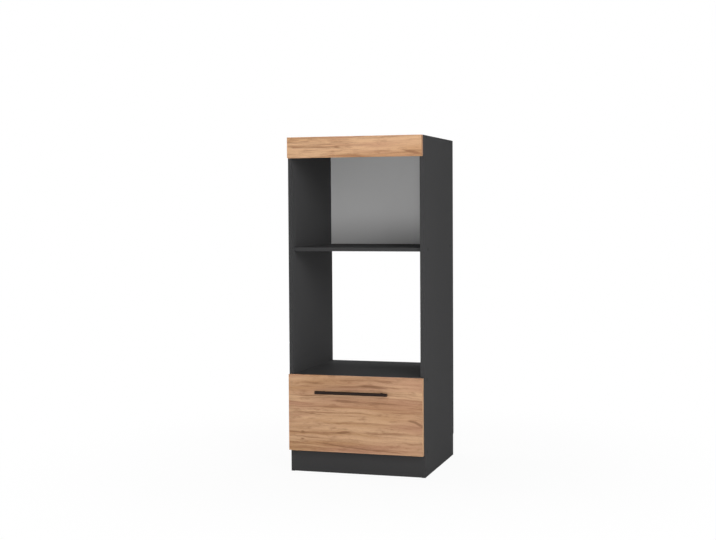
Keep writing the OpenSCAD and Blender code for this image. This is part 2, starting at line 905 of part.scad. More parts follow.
module handle_posts() {
    color(handle_black) difference() {
        for (x = post_xs)
            translate([x, drawer_face_y, handle_z]) rotate([90, 0, 0])
                cylinder(h = post_len, d = handle_post_d);
        along_bar() cylinder(h = handle_len, d = handle_bar_d + 2 * hole_play);
        handle_screw_places() pilot(front_t + handle_screw_bite + over, handle_screw_d);
    }
}

module handle_screws() {
    color(zinc) handle_screw_places()
        pan_screw(front_t + handle_screw_bite, handle_screw_d, handle_screw_head_d, handle_screw_head_h);
}

left_side_panel();
right_side_panel();
top_panel();
microwave_shelf();
oven_shelf();
bottom_panel();
plinth_board();
fascia();
upper_back_panel();
lower_back_panel();
back_nails();
joint_screws();
screw_caps();
dowels();
fascia_brackets();
fascia_bracket_screws();
wall_brackets();
wall_bracket_screws();
left_cabinet_runner();
right_cabinet_runner();
cabinet_runner_screws();
front_roller_pins();
left_front_roller();
right_front_roller();
left_rear_roller();
right_rear_roller();
drawer_front();
drawer_inner_front();
drawer_left_side();
drawer_right_side();
drawer_back();
drawer_bottom();
left_drawer_runner();
right_drawer_runner();
drawer_runner_screws();
rear_roller_pins();
drawer_box_screws();
drawer_front_screws();
drawer_bottom_screws();
handle_bar();
handle_posts();
handle_screws();
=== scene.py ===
import json
import math
import bmesh
import bpy
from mathutils import Matrix, Vector

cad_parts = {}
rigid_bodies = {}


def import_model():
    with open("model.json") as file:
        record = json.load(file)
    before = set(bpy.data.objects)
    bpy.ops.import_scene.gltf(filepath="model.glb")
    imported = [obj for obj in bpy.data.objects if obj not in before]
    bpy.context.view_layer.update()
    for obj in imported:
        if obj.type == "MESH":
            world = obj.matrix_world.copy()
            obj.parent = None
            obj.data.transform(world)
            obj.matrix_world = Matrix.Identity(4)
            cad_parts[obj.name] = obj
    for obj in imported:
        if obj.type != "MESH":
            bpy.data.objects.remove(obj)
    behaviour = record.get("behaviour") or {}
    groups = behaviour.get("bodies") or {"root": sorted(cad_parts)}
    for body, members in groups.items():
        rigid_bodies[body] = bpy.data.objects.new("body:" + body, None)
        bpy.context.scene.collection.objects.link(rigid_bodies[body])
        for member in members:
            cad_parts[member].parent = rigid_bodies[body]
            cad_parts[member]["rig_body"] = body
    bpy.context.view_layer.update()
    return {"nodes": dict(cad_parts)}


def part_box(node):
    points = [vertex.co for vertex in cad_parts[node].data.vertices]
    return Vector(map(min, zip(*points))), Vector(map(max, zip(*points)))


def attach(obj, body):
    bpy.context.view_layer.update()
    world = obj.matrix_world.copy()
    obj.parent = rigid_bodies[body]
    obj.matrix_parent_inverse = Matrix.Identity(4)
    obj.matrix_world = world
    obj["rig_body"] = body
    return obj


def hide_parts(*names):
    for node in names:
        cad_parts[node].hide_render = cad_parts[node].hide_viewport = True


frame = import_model()
mm = 0.001
print("frame loaded,", len(frame["nodes"]), "cad nodes")


class Wire:
    # one output of a node: an expression on it adds Math nodes
    def __init__(self, paint, socket):
        self.paint = paint
        self.socket = socket

    def __add__(self, other):
        return self.paint.maths("ADD", self, other)

    def __radd__(self, other):
        return self.paint.maths("ADD", other, self)

    def __sub__(self, other):
        return self.paint.maths("SUBTRACT", self, other)

    def __rsub__(self, other):
        return self.paint.maths("SUBTRACT", other, self)

    def __mul__(self, other):
        return self.paint.maths("MULTIPLY", self, other)

    def __truediv__(self, other):
        return self.paint.maths("DIVIDE", self, other)

    def __rpow__(self, other):
        return self.paint.maths("POWER", other, self)

    def __gt__(self, other):
        return self.paint.maths("GREATER_THAN", self, other)


class Paint:
    # the node tree of a material or of the world while it is made
    def __init__(self, name, kind=bpy.data.materials):
        self.made = kind.new(name)
        self.made.use_nodes = True
        self.tree = self.made.node_tree
        self.tree.nodes.clear()

    def node(self, kind, settings=None, values=None, out=0):
        made = self.tree.nodes.new("ShaderNode" + kind)
        for key, value in (settings or {}).items():
            if key == "stops":
                self.setStops(made.color_ramp, value)
            else:
                setattr(made, key, value)
        for key, value in (values or {}).items():
            if isinstance(value, Wire):
                self.tree.links.new(value.socket, made.inputs[key])
            else:
                made.inputs[key].default_value = value
        if len(made.outputs):
            return Wire(self, made.outputs[out])

    def setStops(self, ramp, stops):
        while len(ramp.elements) < len(stops):
            ramp.elements.new(1.0)
        for element, (position, colour) in zip(ramp.elements, stops):
            element.position = position
            element.color = colour

    def maths(self, operation, *values):
        return self.node("Math", {"operation": operation}, dict(enumerate(values)))

    def vectors(self, operation, *values, out=0):
        return self.node("VectorMath", {"operation": operation}, dict(enumerate(values)), out)

    def place(self, scale=(1, 1, 1), turn=(0, 0, 0)):
        coords = self.node("TexCoord", out="Object")
        return self.node("Mapping", values={"Vector": coords, "Rotation": turn, "Scale": scale})

    def split(self, vector):
        parts = self.node("SeparateXYZ", values={0: vector}).socket.node.outputs
        return [Wire(self, part) for part in parts]

    def join(self, x, y, z):
        return self.node("CombineXYZ", values={0: x, 1: y, 2: z})

    def noise(self, vector, scale, detail=2.0, roughness=0.5, out=0):
        return self.node("TexNoise", values={
            "Vector": vector, "Scale": scale, "Detail": detail, "Roughness": roughness}, out=out)

    def mask(self, value, start, end):
        return self.node("MapRange", {"interpolation_type": "SMOOTHSTEP"}, {
            "Value": value, "From Min": start, "From Max": end})

    def mix(self, factor, a, b):
        # 6, 7 and out 2 are the node's colour sockets
        return self.node("Mix", {"data_type": "RGBA"}, {0: factor, 6: a, 7: b}, out=2)

    def bump(self, height, depth):
        return self.node("Bump", values={"Height": height, "Distance": depth})

    def finish(self, values):
        shader = self.node("BsdfPrincipled", values=values)
        self.node("OutputMaterial", values={"Surface": shader})
        return self.made


def tint(red, green, blue):
    # a colour given as 0-255 screen values
    def linear(value):
        value /= 255
        return value / 12.92 if value <= 0.04045 else ((value + 0.055) / 1.055) ** 2.4
    return (linear(red), linear(green), linear(blue), 1.0)


def shaded(colour, shade):
    return [channel * shade for channel in colour[:3]] + [1.0]


melamineLook = {
    "colour": tint(81, 81, 82),
    "speckle": tint(91, 91, 91),
    "speckleScale": 900,
    "speckleEdges": (0.42, 0.72),       # noise values where the speckle begins and where it is full
    "cloudScale": 6,
    "cloudTone": 0.08,
    "cloudGloss": 0.03,
    "roughness": 0.62,
    "roughnessSpread": 0.10,
    "pearlScale": 1500,
    "pearlDepth": 0.06 * mm,
    "specular": 0.004,
}


def melaminePaint(name, look, shade=1.0):
    paint = Paint(name)
    place = paint.place()
    cloud = paint.noise(place, look["cloudScale"], detail=3) - 0.5
    speckle = paint.noise(place, look["speckleScale"], detail=2, roughness=0.6)
    pearl = paint.noise(place, look["pearlScale"], detail=1)
    speckled = paint.mask(speckle + cloud * look["cloudTone"], *look["speckleEdges"])
    uneven = (speckle - 0.5) * look["roughnessSpread"] + cloud * look["cloudGloss"]
    return paint.finish({
        "Base Color": paint.mix(speckled, shaded(look["colour"], shade), shaded(look["speckle"], shade)),
        "Roughness": look["roughness"] + uneven,
        "Specular IOR Level": look["specular"],
        "Normal": paint.bump(pearl, look["pearlDepth"]),
    })


chipboardLook = {
    "chipScale": 420,
    "stretch": (1.0, 1.0, 0.45),
    "bend": 0.003,      # how far the chips bend out of line, metres
    "bendScale": 260.0,
    "gap": tint(84, 62, 44),
    "chips": ((0.12, tint(142, 108, 72)), (0.45, tint(182, 150, 106)), (0.9, tint(206, 180, 140))),
    "crackWidth": 0.09,
    "crackShade": 0.55,
    "roughness": 0.88,
    "chipGloss": 0.1,
    "depth": 0.25 * mm,
    "specular": 0.2,
}


def chipboardPaint(name, look):
    paint = Paint(name)
    place = paint.place(scale=look["stretch"])
    drift = paint.noise(place, look["bendScale"], out="Color")
    bent = paint.vectors("ADD", place, paint.vectors("MULTIPLY", drift, [look["bend"]] * 3))
    cell = {"Vector": bent, "Scale": look["chipScale"]}
    chip = paint.split(paint.node("TexVoronoi", {"feature": "F1"}, cell, out="Color"))[0]
    edge = paint.node("TexVoronoi", {"feature": "DISTANCE_TO_EDGE"}, cell)
    crack = 1 - paint.mask(edge, 0.0, look["crackWidth"])
    chips = paint.node("ValToRGB", {"stops": [(0.0, look["gap"]), *look["chips"]]}, {0: chip})
    return paint.finish({
        "Base Color": paint.mix(crack * look["crackShade"], chips, look["gap"]),
        "Roughness": look["roughness"] - chip * look["chipGloss"],
        "Specular IOR Level": look["specular"],
        "Normal": paint.bump(chip - crack, look["depth"]),
    })


oakLook = {
    "light": tint(216, 175, 136),
    "honey": tint(190, 145, 102),
    "rose": tint(188, 140, 109),
    "streak": tint(142, 97, 65),
    "pore": tint(104, 72, 50),
    "heart": tint(124, 80, 50),
    "lean": 0.35,           # how much the grain climbs through the thickness of the board
    "flow": 0.070,          # how far the grain wanders up and down, metres
    "ripple": 0.012,
    # scales per metre along the grain, through the board and across the grain, then detail and roughness
    "flowNoise": (1.6, 1.0, 3.4, 2.0, 0.5),
    "rippleNoise": (7.0, 1.0, 16.0, 2.0, 0.6),
    "bandNoise": (1.8, 1.0, 34.0, 2.0, 0.5),        # broad tones
    "lineNoise": (3.3, 1.0, 95.0, 4.0, 0.66),       # long dark lines
    "dashNoise": (15.0, 1.0, 60.0, 3.0, 0.6),       # short brown dashes
    "fibreNoise": (34.0, 450.0, 900.0, 2.0, 0.5),
    "poreNoise": (110.0, 1400.0, 2300.0, 1.0, 0.5),
    "hueNoise": (2.3, 1.0, 9.0, 1.0, 0.5),
    # noise values where each layer begins to show and where it is full
    "hueEdges": (0.38, 0.62),
    "bandEdges": (0.36, 0.66),
    "lineEdges": (0.47, 0.70),
    "dashEdges": (0.50, 0.78),
    "poreEdges": (0.60, 0.70),
    "fibreEdges": (0.42, 0.60),
    "heartEdges": (0.15, 0.80),
    # how strongly each layer colours the wood
    "lineShade": 0.72,
    "dashShade": 0.62,
    "fibreShade": 0.45,
    "fibreBase": 0.10,
    "poreShade": 0.50,
    "heartShade": 0.66,
    "heartPush": 0.45,      # how far a heart pushes the lines aside, against its height
    "pushFall": 0.15,       # how fast that fades above and below it
    "tornByFibre": 0.7,
    "tornByLine": 1.2,
    "fibreRelief": 0.35,
    "lineRelief": 0.3,
    "depth": 0.10 * mm,
    "roughness": 0.50,
    "fibreGloss": 0.14,
    "poreGloss": 0.15,
    "specular": 0.30,
    # hearts: place along and across the grain, half length, half height, fall along its length, strength
    "drawerHearts": (
        (0.062, 0.384, 0.030, 0.0045, -0.07, 0.9),
        (0.118, 0.379, 0.026, 0.0035, -0.07, 0.6),
        (-0.042, 0.317, 0.046, 0.0050, -0.04, 1.0),
        (0.085, 0.316, 0.058, 0.0045, -0.03, 0.5),
        (0.248, 0.2435, 0.018, 0.0040, -0.10, 0.9),
        (0.281, 0.231, 0.015, 0.0045, -0.36, 1.0),
        (-0.236, 0.181, 0.007, 0.0035, 0.0, 0.8),
        (-0.236, 0.149, 0.009, 0.0035, 0.0, 0.8),
        (-0.051, 0.184, 0.028, 0.0040, 0.08, 0.8),
        (-0.143, 0.219, 0.034, 0.0035, 0.0, 0.5),
        (-0.090, 0.127, 0.085, 0.0030, -0.10, 0.6),
        (0.100, 0.112, 0.095, 0.0030, -0.05, 0.6),
        (-0.140, 0.277, 0.110, 0.0028, -0.01, 0.5),
        (-0.190, 0.260, 0.080, 0.0028, -0.12, 0.5),
        (-0.205, 0.395, 0.070, 0.0035, -0.11, 0.5),
        (0.180, 0.169, 0.110, 0.0035, -0.05, 0.5),
    ),
    "fasciaHearts": (
        (0.255, 1.376, 0.032, 0.0045, -0.22, 0.9),
        (-0.073, 1.400, 0.012, 0.0036, -0.05, 0.7),
        (-0.128, 1.398, 0.060, 0.0020, -0.02, 0.5),
        (-0.038, 1.421, 0.060, 0.0022, -0.02, 0.5),
        (-0.232, 1.429, 0.040, 0.0024, -0.14, 0.45),
        (-0.266, 1.400, 0.024, 0.0024, 0.0, 0.5),
        (-0.180, 1.412, 0.060, 0.0026, 0.02, 0.4),
        (0.040, 1.372, 0.110, 0.0025, 0.02, 0.3),
    ),
}


def oakPaint(name, look, hearts=(), upright=False, shade=1.0):
    paint = Paint(name)
    x, y, z = paint.split(paint.place(turn=(0, math.radians(90) if upright else 0, 0)))
    tones = ("light", "honey", "rose", "streak", "pore", "heart")
    light, honey, rose, streak, pore, heart = [shaded(look[tone], shade) for tone in tones]

    def layer(kind, height):
        along, through, across, detail, roughness = look[kind + "Noise"]
        return paint.noise(paint.join(x * along, y * through, height * across), 1.0, detail, roughness)

    def shown(kind, noise):
        return paint.mask(noise, *look[kind + "Edges"])

    # the lines bend round each heart, and the heart darkens the wood
    level = z + y * look["lean"]
    heartTone = 0.0
    for alongX, acrossZ, halfLength, halfHeight, fall, strength in hearts:
        dx = (x - alongX) / halfLength
        dz = (z - acrossZ - (x - alongX) * fall) / halfHeight
        near = math.e ** ((dx * dx + dz * dz) * -0.5)
        wide = math.e ** ((dx * dx + dz * dz * look["pushFall"]) * -0.5)
        level = level - dz * wide * (halfHeight * look["heartPush"] * strength)
        heartTone = near * strength + heartTone
    flow = layer("flow", level) - 0.5
    ripple = layer("ripple", level) - 0.5
    lines = level + flow * look["flow"] + ripple * look["ripple"]
    line = layer("line", lines)
    fibre = layer("fibre", lines)
    darkLine = shown("line", line)
    openPore = shown("pore", layer("pore", lines)) * shown("fibre", fibre)

    colour = paint.mix(shown("hue", layer("hue", level)), honey, rose)
    colour = paint.mix(shown("band", layer("band", lines)), colour, light)
    colour = paint.mix(darkLine * look["lineShade"], colour, streak)
    colour = paint.mix(shown("dash", layer("dash", lines)) * look["dashShade"], colour, streak)
    colour = paint.mix((fibre - 0.5) * look["fibreShade"] + look["fibreBase"], colour, streak)
    colour = paint.mix(openPore * look["poreShade"], colour, pore)
    if hearts:
        torn = heartTone + (fibre - 0.5) * look["tornByFibre"] + (line - 0.5) * look["tornByLine"]
        colour = paint.mix(shown("heart", torn) * look["heartShade"], colour, heart)
    relief = fibre * look["fibreRelief"] - openPore - darkLine * look["lineRelief"]
    return paint.finish({
        "Base Color": colour,
        "Roughness": look["roughness"] + (fibre - 0.5) * look["fibreGloss"] + openPore * look["poreGloss"],
        "Specular IOR Level": look["specular"],
        "Normal": paint.bump(relief, look["depth"]),
    })


backBoardLook = {
    "lacquer": tint(185, 185, 185),
    "lacquerShade": tint(174, 174, 175),
    "brown": tint(134, 96, 62),
    "fibre": tint(98, 68, 44),
    "cloudScale": 5,
    "rollerScale": 520,
    "lacquerSpread": 0.25,
    "fuzzScale": 240,
    "fuzzEdges": (0.35, 0.75),
    "screenPitch": 1.6 * mm,
    "lacquerRoughness": 0.46,
    "rawRoughness": 0.34,       # added on the raw side
    "roughnessSpread": 0.08,
    "rollerRelief": 0.15,
    "screenRelief": 0.5,
    "fuzzRelief": 0.5,
    "depth": 0.15 * mm,
    "specular": 0.35,
}


def backBoardPaint(name, look, node, axis, rawSide):
    # lacquer on the side towards the niche or the drawer, raw hardboard with its screen print on the other
    low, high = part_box(node)
    paint = Paint(name)
    place = paint.place()
    parts = paint.split(place)
    past = parts[axis] > (low[axis] + high[axis]) / 2
    raw = past if rawSide > 0 else 1 - past
    cloud = paint.noise(place, look["cloudScale"], detail=3) - 0.5
    roller = paint.noise(place, look["rollerScale"], detail=2)
    fuzz = paint.noise(place, look["fuzzScale"], detail=4, roughness=0.7)
    first, second = [part for index, part in enumerate(parts) if index != axis]
    turns = 2 * math.pi / look["screenPitch"]
    screen = paint.maths("SINE", first * turns) * paint.maths("SINE", second * turns)
    smoothTone = (roller - 0.5 + cloud) * look["lacquerSpread"]
    smooth = paint.mix(smoothTone, look["lacquer"], look["lacquerShade"])
    rough = paint.mix(paint.mask(fuzz, *look["fuzzEdges"]), look["brown"], look["fibre"])
    smoothRelief = roller * look["rollerRelief"] * (1 - raw)
    rawRelief = (screen * look["screenRelief"] + fuzz * look["fuzzRelief"]) * raw
    dull = look["lacquerRoughness"] + raw * look["rawRoughness"]
    return paint.finish({
        "Base Color": paint.mix(raw, smooth, rough),
        "Roughness": dull + (roller - 0.5) * look["roughnessSpread"],
        "Specular IOR Level": look["specular"],
        "Normal": paint.bump(smoothRelief + rawRelief, look["depth"]),
    })


zincLook = {
    "bright": tint(196, 198, 196),
    "dull": tint(158, 160, 160),
    "dullEdges": (0.35, 0.7),
    "cloudScale": 160,
    "cloudGloss": 0.1,
    "grainScale": 900,
    "grainTone": 0.4,
    "grainGloss": 0.22,
    "roughness": 0.34,
    "depth": 0.01 * mm,
}


def zincPaint(name, look):
    paint = Paint(name)
    place = paint.place()
    cloud = paint.noise(place, look["cloudScale"], detail=3)
    grain = paint.noise(place, look["grainScale"], detail=2)
    dulled = paint.mask(cloud + (grain - 0.5) * look["grainTone"], *look["dullEdges"])
    uneven = (grain - 0.5) * look["grainGloss"] + (cloud - 0.5) * look["cloudGloss"]
    return paint.finish({
        "Base Color": paint.mix(dulled, look["bright"], look["dull"]),
        "Metallic": 1.0,
        "Roughness": look["roughness"] + uneven,
        "Normal": paint.bump(grain, look["depth"]),
    })


# powder, epoxy or moulded plastic: a fine orange peel, slightly rubbed here and there
coatWear = {
    "rubScale": 45,
    "rubEdges": (0.5, 0.8),
    "rubTone": 0.5,
    "peelTone": 0.3,
    "peelGloss": 0.16,
    "rubbedEdges": (0.55, 0.8),
    "rubbedGloss": 0.06,
}
blackPowderLook = {
    "colour": tint(34, 24, 19),
    "worn": tint(46, 34, 28),
    "roughness": 0.52,
    "peelScale": 2600,
    "depth": 0.05 * mm,
    "specular": 0.12,
}
whiteEpoxyLook = {
    "colour": tint(226, 226, 222),
    "worn": tint(206, 206, 202),
    "roughness": 0.36,
    "peelScale": 1500,
    "depth": 0.03 * mm,
    "specular": 0.5,
}
nylonLook = {
    "colour": tint(232, 230, 222),
    "worn": tint(218, 214, 204),
    "roughness": 0.42,
    "peelScale": 2200,
    "depth": 0.02 * mm,
    "specular": 0.5,
}


def coatedPaint(name, look, wear=coatWear):
    paint = Paint(name)
    place = paint.place()
    peel = paint.noise(place, look["peelScale"], detail=2)
    rub = paint.noise(place, wear["rubScale"], detail=4, roughness=0.65)
    rubbed = paint.mask(rub, *wear["rubbedEdges"])
    wornTone = paint.mask(rub, *wear["rubEdges"]) * wear["rubTone"] + (peel - 0.5) * wear["peelTone"]
    dull = look["roughness"] + (peel - 0.5) * wear["peelGloss"]
    return paint.finish({
        "Base Color": paint.mix(wornTone, look["colour"], look["worn"]),
        "Roughness": dull - rubbed * wear["rubbedGloss"],
        "Specular IOR Level": look["specular"],
        "Normal": paint.bump(peel, look["depth"]),
    })


beechLook = {
    "pale": tint(222, 184, 140),
    "fleck": tint(176, 130, 88),
    "fleckScale": (40, 900, 900),
    "fleckEdges": (0.45, 0.7),
    "roughness": 0.7,
    "fleckGloss": 0.2,
    "depth": 0.05 * mm,
}


def beechPaint(name, look):
    paint = Paint(name)
    fleck = paint.noise(paint.place(scale=look["fleckScale"]), 1.0, detail=2)
    return paint.finish({
        "Base Color": paint.mix(paint.mask(fleck, *look["fleckEdges"]), look["pale"], look["fleck"]),
        "Roughness": look["roughness"] + (fleck - 0.5) * look["fleckGloss"],
        "Normal": paint.bump(fleck, look["depth"]),
    })


# band and plinth are written darker, because the low lamp lights what looks forward more than the sides,
# and the caps are, so that they show as faint spots
anthracite = melaminePaint("anthracite melamine", melamineLook)
anthraciteBand = melaminePaint("anthracite edge band", {**melamineLook, "roughness": 0.48}, shade=0.545)
anthracitePlinth = melaminePaint("anthracite plinth", melamineLook, shade=0.54)
capFoil = melaminePaint("screw cap foil", {**melamineLook, "roughness": 0.5}, shade=0.60)
chipboard = chipboardPaint("raw chipboard edge", chipboardLook)
oakFascia = oakPaint("golden oak fascia", oakLook, oakLook["fasciaHearts"], shade=0.965)
# the drawer front is the same oak written darker than the fascia: painted shade, because the lower front
# gets less light
oakDrawerShaded = oakPaint("golden oak drawer front", oakLook, oakLook["drawerHearts"], shade=0.82)
# both oak bands are written lighter than the face: partly a paler edge band, partly a painted highlight
# along the edges of the fronts
oakBandAndHighlight = oakPaint("golden oak upright band", oakLook, upright=True, shade=1.25)
oakEdgeAndHighlight = oakPaint("golden oak level band", oakLook, shade=1.25)
backBoard = backBoardPaint("grey lacquered hardboard", backBoardLook, "upper_back_panel", axis=1, rawSide=1)
drawerBottomBoard = backBoardPaint("grey drawer bottom", backBoardLook, "drawer_bottom", axis=2, rawSide=-1)
blackPowder = coatedPaint("black powder coat", blackPowderLook)
whiteEpoxy = coatedPaint("white epoxy coat", whiteEpoxyLook)
nylon = coatedPaint("natural nylon", nylonLook)
zinc = zincPaint("zinc plate", zincLook)
beech = beechPaint("beech dowel", beechLook)
print("materials made:", len(bpy.data.materials))


sideVectors = {"-x": Vector((-1, 0, 0)), "+x": Vector((1, 0, 0)), "-y": Vector((0, -1, 0)),
               "+y": Vector((0, 1, 0)), "-z": Vector((0, 0, -1)), "+z": Vector((0, 0, 1))}
facing = 0.9                        # a face looks to a side when its normal follows it this closely
sharpLimit = math.radians(28)
flatLimit = math.radians(0.5)
weld = 0.001 * mm
boardFace, levelBand, bareEdge, uprightBand = range(4)      # order of the materials on a board


def looksTo(normal, sides):
    return any(normal.dot(sideVectors[side]) > facing for side in sides)


def sharpEdges(bm, shortest=0.0):
    return [edge for edge in bm.edges if len(edge.link_faces) == 2 and edge.is_convex
            and edge.calc_face_angle() > sharpLimit and edge.calc_length() > shortest]


def bevelEdges(bm, edges, width, segments=2):
    bmesh.ops.bevel(bm, geom=edges, offset=width, offset_type="OFFSET", segments=segments,
                    profile=0.5, affect="EDGES", material=-1, clamp_overlap=True)


def mergeFaces(bm):
    bmesh.ops.remove_doubles(bm, verts=bm.verts, dist=weld)
    bmesh.ops.dissolve_limit(bm, angle_limit=flatLimit, verts=bm.verts, edges=bm.edges)


def addBox(bm, low, high, arris, material=boardFace, raw=()):
    place = Matrix.LocRotScale((low + high) / 2, None, high - low)
    verts = bmesh.ops.create_cube(bm, size=1, matrix=place)["verts"]
    bm.normal_update()
    for face in dict.fromkeys(face for vert in verts for face in vert.link_faces):
        face.material_index = bareEdge if looksTo(face.normal, raw) else material
    bevelEdges(bm, list(dict.fromkeys(edge for vert in verts for edge in vert.link_edges)), arris)


def finishPiece(bm, name, materials, body, node):
    mesh = bpy.data.meshes.new(name)
    bm.to_mesh(mesh)
    bm.free()
    for material in materials:
        mesh.materials.append(material)
    mesh.shade_smooth()
    mesh.set_sharp_from_angle(angle=sharpLimit)
    piece = bpy.data.objects.new(name, mesh)
    bpy.context.scene.collection.objects.link(piece)
    # flat faces shade flat beside their rounded arrises
    level = piece.modifiers.new("level", "WEIGHTED_NORMAL")
    level.keep_sharp = True
    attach(piece, body)
    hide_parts(node)


boardShape = {
    "arris": 0.3 * mm,
    "bandThickness": 0.8 * mm,
    "bandArris": 0.35 * mm,
}
boardPaints = [anthracite, anthraciteBand, chipboard, anthraciteBand]


def makeBoard(name, node, body, bands=(), raw=(), paints=boardPaints,
              shape=boardShape):
    # a core with thin glued bands on some edges and bare chipboard on others
    low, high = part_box(node)
    bm = bmesh.new()
    for side in bands:
        axis = "xyz".index(side[1])
        bandLow, bandHigh = low.copy(), high.copy()
        if side[0] == "-":
            low[axis] += shape["bandThickness"]
            bandHigh[axis] = low[axis]
        else:
            high[axis] -= shape["bandThickness"]
            bandLow[axis] = high[axis]
        addBox(bm, bandLow, bandHigh, shape["bandArris"], uprightBand if axis == 0 else levelBand)
    addBox(bm, low, high, shape["arris"], raw=raw)
    finishPiece(bm, name, paints, body, node)


sidePanelShape = {
    "skirtingNotch": 8 * mm,
    "grooveDepth": 8 * mm,
    "groovePlay": 0.15 * mm,
}


def facesAt(bm, x):
    return [face for face in bm.faces if all(abs(vert.co.x - x) < weld for vert in face.verts)]


def growFaces(bm, faces, distance):
    grown = bmesh.ops.extrude_face_region(bm, geom=faces)["geom"]
    verts = [part for part in grown if isinstance(part, bmesh.types.BMVert)]
    bmesh.ops.translate(bm, verts=verts, vec=(distance, 0, 0))


def cutFaces(bm, faces, y):
    edges = dict.fromkeys(edge for face in faces for edge in face.edges)
    verts = dict.fromkeys(vert for face in faces for vert in face.verts)
    bmesh.ops.bisect_plane(bm, geom=[*faces, *edges, *verts], plane_co=(0, y, 0), plane_no=(0, 1, 0))


def makeSidePanel(name, node, side, shape=sidePanelShape):
    # the outline grows inwards from the outer face and leaves a full-height groove for the back panels
    low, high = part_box(node)
    backLow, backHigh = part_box("upper_back_panel")
    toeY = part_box("plinth_board")[0].y
    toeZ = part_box("bottom_panel")[0].z
    outerX, innerX = (high.x, low.x) if side > 0 else (low.x, high.x)
    grooveX = innerX + side * shape["grooveDepth"]
    grooveFront = backLow.y - shape["groovePlay"]
    grooveRear = backHigh.y + shape["groovePlay"]
    coreY = low.y + boardShape["bandThickness"]
    notchY = high.y - shape["skirtingNotch"]
    outline = [(toeY, low.z), (notchY, low.z), (notchY, toeZ), (high.y, toeZ),
               (high.y, high.z), (coreY, high.z), (coreY, toeZ), (toeY, toeZ)]
    bm = bmesh.new()
    outer = bm.faces.new([bm.verts.new((outerX, y, z)) for y, z in outline])
    growFaces(bm, [outer], grooveX - outerX)
    for y in (grooveFront, grooveRear):
        cutFaces(bm, facesAt(bm, grooveX), y)
    beside = [face for face in facesAt(bm, grooveX)
              if not grooveFront < face.calc_center_median().y < grooveRear]
    growFaces(bm, beside, innerX - grooveX)
    bmesh.ops.delete(bm, geom=beside, context="FACES_ONLY")     # they now lie inside the board
    mergeFaces(bm)
    bmesh.ops.recalc_face_normals(bm, faces=bm.faces)
    for face in bm.faces:
        if looksTo(face.normal, ("+y", "+z", "-z")):
            face.material_index = bareEdge
        elif looksTo(face.normal, ("-y",)):
            face.material_index = levelBand
    bevelEdges(bm, sharpEdges(bm), boardShape["arris"])
    bandLow = Vector((low.x, low.y, toeZ))
    bandHigh = Vector((high.x, coreY, high.z))
    addBox(bm, bandLow, bandHigh, boardShape["bandArris"], levelBand)
    finishPiece(bm, name, boardPaints, "carcass", node)


makeSidePanel("leftSidePanel", "left_side_panel", -1)
makeSidePanel("rightSidePanel", "right_side_panel", 1)
makeBoard("topPanel", "top_panel", "carcass", raw=("-y", "+y"))
makeBoard("microwaveShelf", "microwave_shelf", "carcass", bands=("-y",), raw=("+y",))
makeBoard("ovenShelf", "oven_shelf", "carcass", bands=("-y",), raw=("+y",))
makeBoard("bottomPanel", "bottom_panel", "carcass", bands=("-y",), raw=("+y",))
makeBoard("plinthBoard", "plinth_board", "carcass", raw=("-z", "+z"),
          paints=[anthracitePlinth, anthraciteBand, chipboard, anthraciteBand])
print("carcass boards made")


frontShape = {
    "arris": 0.25 * mm,
    "bandThickness": 2.0 * mm,
    "bandArris": 1.1 * mm,
    "banded": ("-x", "+x", "-z", "+z"),
}

makeBoard("fasciaBoard", "fascia", "carcass", frontShape["banded"],
          paints=[oakFascia, oakEdgeAndHighlight, chipboard, oakBandAndHighlight], shape=frontShape)
makeBoard("drawerFrontBoard", "drawer_front", "drawer", frontShape["banded"],
          paints=[oakDrawerShaded, oakEdgeAndHighlight, chipboard, oakBandAndHighlight], shape=frontShape)
print("oak fronts made")


handleShape = {
    "barSegments": 72,
    "postSegments": 36,
    "endRound": 1.2 * mm,
    "endSegments": 5,
}


def addRod(bm, middle, turnAxis, radius, length, segments):
    # a rod stood on end, then turned a quarter about one axis
    place = Matrix.Translation(middle) @ Matrix.Rotation(math.radians(90), 4, turnAxis)
    bmesh.ops.create_cone(bm, cap_ends=True, segments=segments, radius1=radius, radius2=radius,
                          depth=length, matrix=place)


def makeHandle(shape):
    low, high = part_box("handle_bar")
    middle = (low + high) / 2
    bm = bmesh.new()
    addRod(bm, middle, "Y", (high.z - low.z) / 2, high.x - low.x, shape["barSegments"])
    bevelEdges(bm, sharpEdges(bm), shape["endRound"], shape["endSegments"])
    finishPiece(bm, "handleBar", [blackPowder], "drawer", "handle_bar")

    # each post runs from the middle of the bar to the drawer front
    low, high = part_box("handle_posts")
    radius = (high.z - low.z) / 2
    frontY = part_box("drawer_front")[0].y
    length = frontY - middle.y
    bm = bmesh.new()
    for x in (low.x + radius, high.x - radius):
        addRod(bm, (x, (frontY + middle.y) / 2, middle.z), "X", radius, length, shape["postSegments"])
    finishPiece(bm, "handlePosts", [blackPowder], "drawer", "handle_posts")


makeHandle(handleShape)
print("handle made")


# how wide the edges are rounded, in how many segments, and the length that an edge must pass for it
boxBoardShape = {"rounding": 0.3 * mm, "segments": 2, "shortest": 20 * mm}
capShape = {"rounding": 0.22 * mm, "segments": 3, "shortest": 0}
nailShape = {"rounding": 0.2 * mm, "segments": 2, "shortest": 0}
bracketShape = {"rounding": 0.4 * mm, "segments": 2, "shortest": 2 * mm}
runnerShape = {"rounding": 0.25 * mm, "segments": 2, "shortest": 1 * mm}

